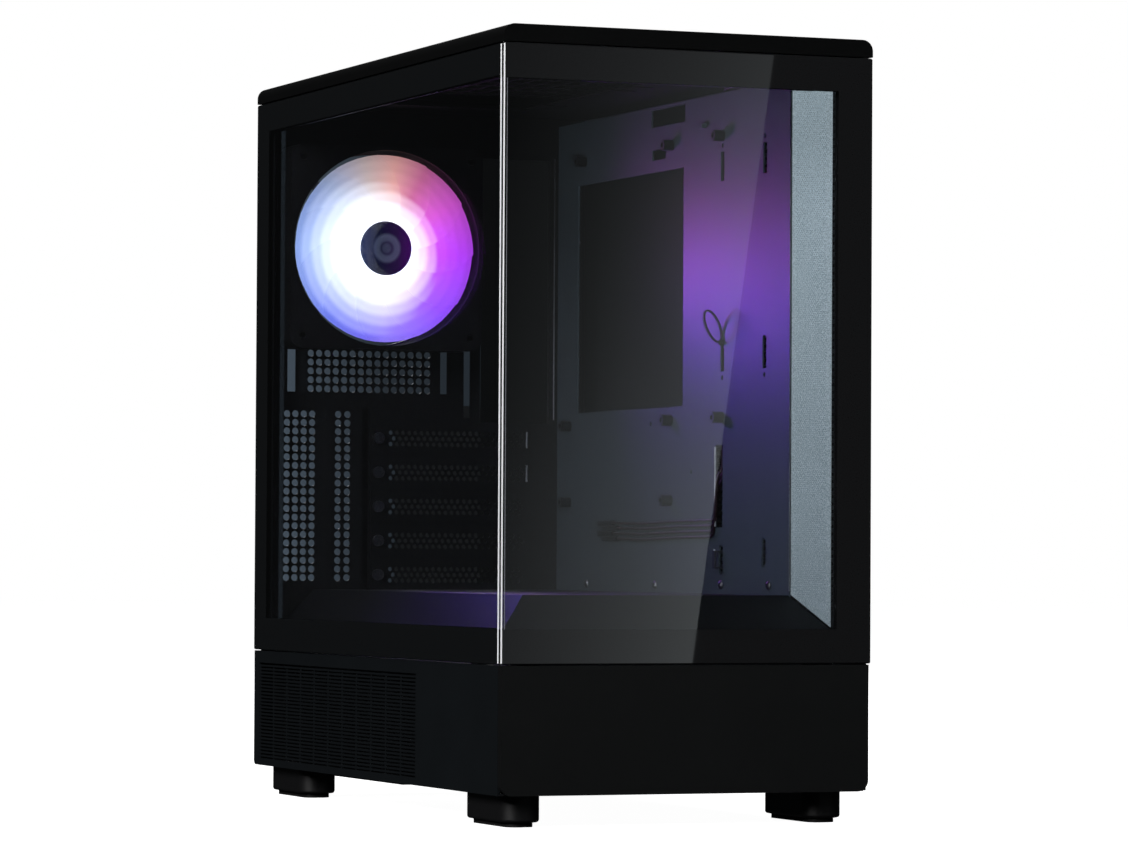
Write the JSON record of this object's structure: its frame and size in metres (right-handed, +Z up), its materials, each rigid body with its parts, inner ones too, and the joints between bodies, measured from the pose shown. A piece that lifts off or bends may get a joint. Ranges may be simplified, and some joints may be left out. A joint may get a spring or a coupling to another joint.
{
  "type": "desktop computer tower",
  "caption": "Compact upright computer tower with glass front and side panels, a lit rear fan, a bevelled inner shroud and removable filters.",
  "frame": {"origin": "bottom centre of the bounding box, on the plane the feet stand on", "axes": "+Z up, the front glass faces -Y, the glass side panel faces -X, the steel side panel is at +X"},
  "size_m": [0.21, 0.41, 0.4154],
  "materials": {
    "black_steel": "satin black powder coat",
    "grey_mesh": "satin grey perforated steel",
    "tinted_glass": "polished, lightly tinted, black printed border",
    "screw_steel": "black nickel plated",
    "brass": "turned",
    "black_plastic": "fine moulded texture",
    "filter_mesh": "fine nylon mesh",
    "rubber": "matte",
    "frosted_blades": "frosted, lit by coloured lamps",
    "hub_cap": "satin dark cap",
    "circuit_board": "solder mask",
    "port_metal": "nickel plated",
    "lead_sheath": "smooth sheath",
    "lens": "clear light guide"
  },
  "bodies": {
    "chassis": {"bottom_pan": "black_steel", "rear_panel": "black_steel", "motherboard_tray": "black_steel", "psu_shroud": "black_steel", "intake_bevel": "grey_mesh", "front_frame": "black_steel", "top_frame": "black_steel", "top_cover": "black_steel", "front_skirt": "black_steel", "left_skirt": "black_steel", "left_vent_louvres": "black_steel", "slot_cover_1": "black_steel", "slot_cover_2": "black_steel", "slot_cover_3": "black_steel", "slot_cover_4": "black_steel", "slot_cover_5": "black_steel", "slot_cover_screws": "screw_steel", "slot_screw_shield": "black_steel", "board_standoffs": "brass", "tray_screws": "screw_steel", "drive_cage": "black_steel", "ssd_bracket": "black_steel", "fan_frame": "black_plastic", "fan_stator": "circuit_board", "fan_screws": "screw_steel", "front_clip_sockets": "black_plastic", "left_clip_sockets": "black_plastic", "status_led_lens": "lens", "port_board": "circuit_board", "usb_ports": "port_metal", "usb_c_port": "port_metal", "audio_jack": "black_plastic", "foot_front_left": "black_plastic", "foot_rear_left": "black_plastic", "foot_front_right": "black_plastic", "foot_rear_right": "black_plastic", "foot_pads": "rubber", "foot_screws": "screw_steel", "psu_filter_rails": "black_plastic", "psu_pads": "rubber", "header_plugs": "black_plastic", "front_panel_leads": "lead_sheath", "strap_loops": "black_plastic"},
    "rear_fan_rotor": {"fan_rotor": "frosted_blades", "fan_hub_cap": "hub_cap"},
    "front_glass_panel": {"front_glass": "tinted_glass", "front_glass_studs": "screw_steel"},
    "left_glass_panel": {"left_glass": "tinted_glass", "left_glass_studs": "screw_steel"},
    "right_panel": {"right_side_panel": "black_steel", "right_vent_louvres": "black_steel"},
    "lower_thumbscrew": {"thumbscrew_lower": "screw_steel"},
    "upper_thumbscrew": {"thumbscrew_upper": "screw_steel"},
    "power_key": {"power_button": "black_plastic"},
    "reset_key": {"reset_button": "black_plastic"},
    "top_dust_filter": {"top_filter_rim": "black_plastic", "top_filter_mesh": "filter_mesh"},
    "bottom_dust_filter": {"psu_filter_rim": "black_plastic", "psu_filter_mesh": "filter_mesh"}
  },
  "joints": [
    {"name": "rear_fan_spin", "type": "hinge", "parent": "chassis", "child": "rear_fan_rotor", "pos_m": [-0.032, 0.185, 0.322], "axis": [0, 1, 0], "continuous": true},
    {"name": "front_glass_pull", "type": "slide", "parent": "chassis", "child": "front_glass_panel", "axis": [0, -1, 0], "range_m": [0, 0.08]},
    {"name": "left_glass_pull", "type": "slide", "parent": "chassis", "child": "left_glass_panel", "axis": [-1, 0, 0], "range_m": [0, 0.08]},
    {"name": "side_panel_slide", "type": "slide", "parent": "chassis", "child": "right_panel", "axis": [0, 1, 0], "range_m": [0, 0.02]},
    {"name": "lower_screw_turn", "type": "hinge", "parent": "right_panel", "child": "lower_thumbscrew", "pos_m": [0.097, 0.202, 0.095], "axis": [0, 1, 0], "continuous": true},
    {"name": "upper_screw_turn", "type": "hinge", "parent": "right_panel", "child": "upper_thumbscrew", "pos_m": [0.097, 0.202, 0.33], "axis": [0, 1, 0], "continuous": true},
    {"name": "power_press", "type": "slide", "parent": "chassis", "child": "power_key", "axis": [0, 0, -1], "range_m": [0, 0.0015], "stiffness_N_per_m": 800, "springref_m": -0.001},
    {"name": "reset_press", "type": "slide", "parent": "chassis", "child": "reset_key", "axis": [0, 0, -1], "range_m": [0, 0.0015], "stiffness_N_per_m": 600, "springref_m": -0.001},
    {"name": "top_filter_lift", "type": "slide", "parent": "chassis", "child": "top_dust_filter", "axis": [0, 0, 1], "range_m": [0, 0.06]},
    {"name": "psu_filter_slide", "type": "slide", "parent": "chassis", "child": "bottom_dust_filter", "axis": [0, 1, 0], "range_m": [0, 0.15]}
  ]
}
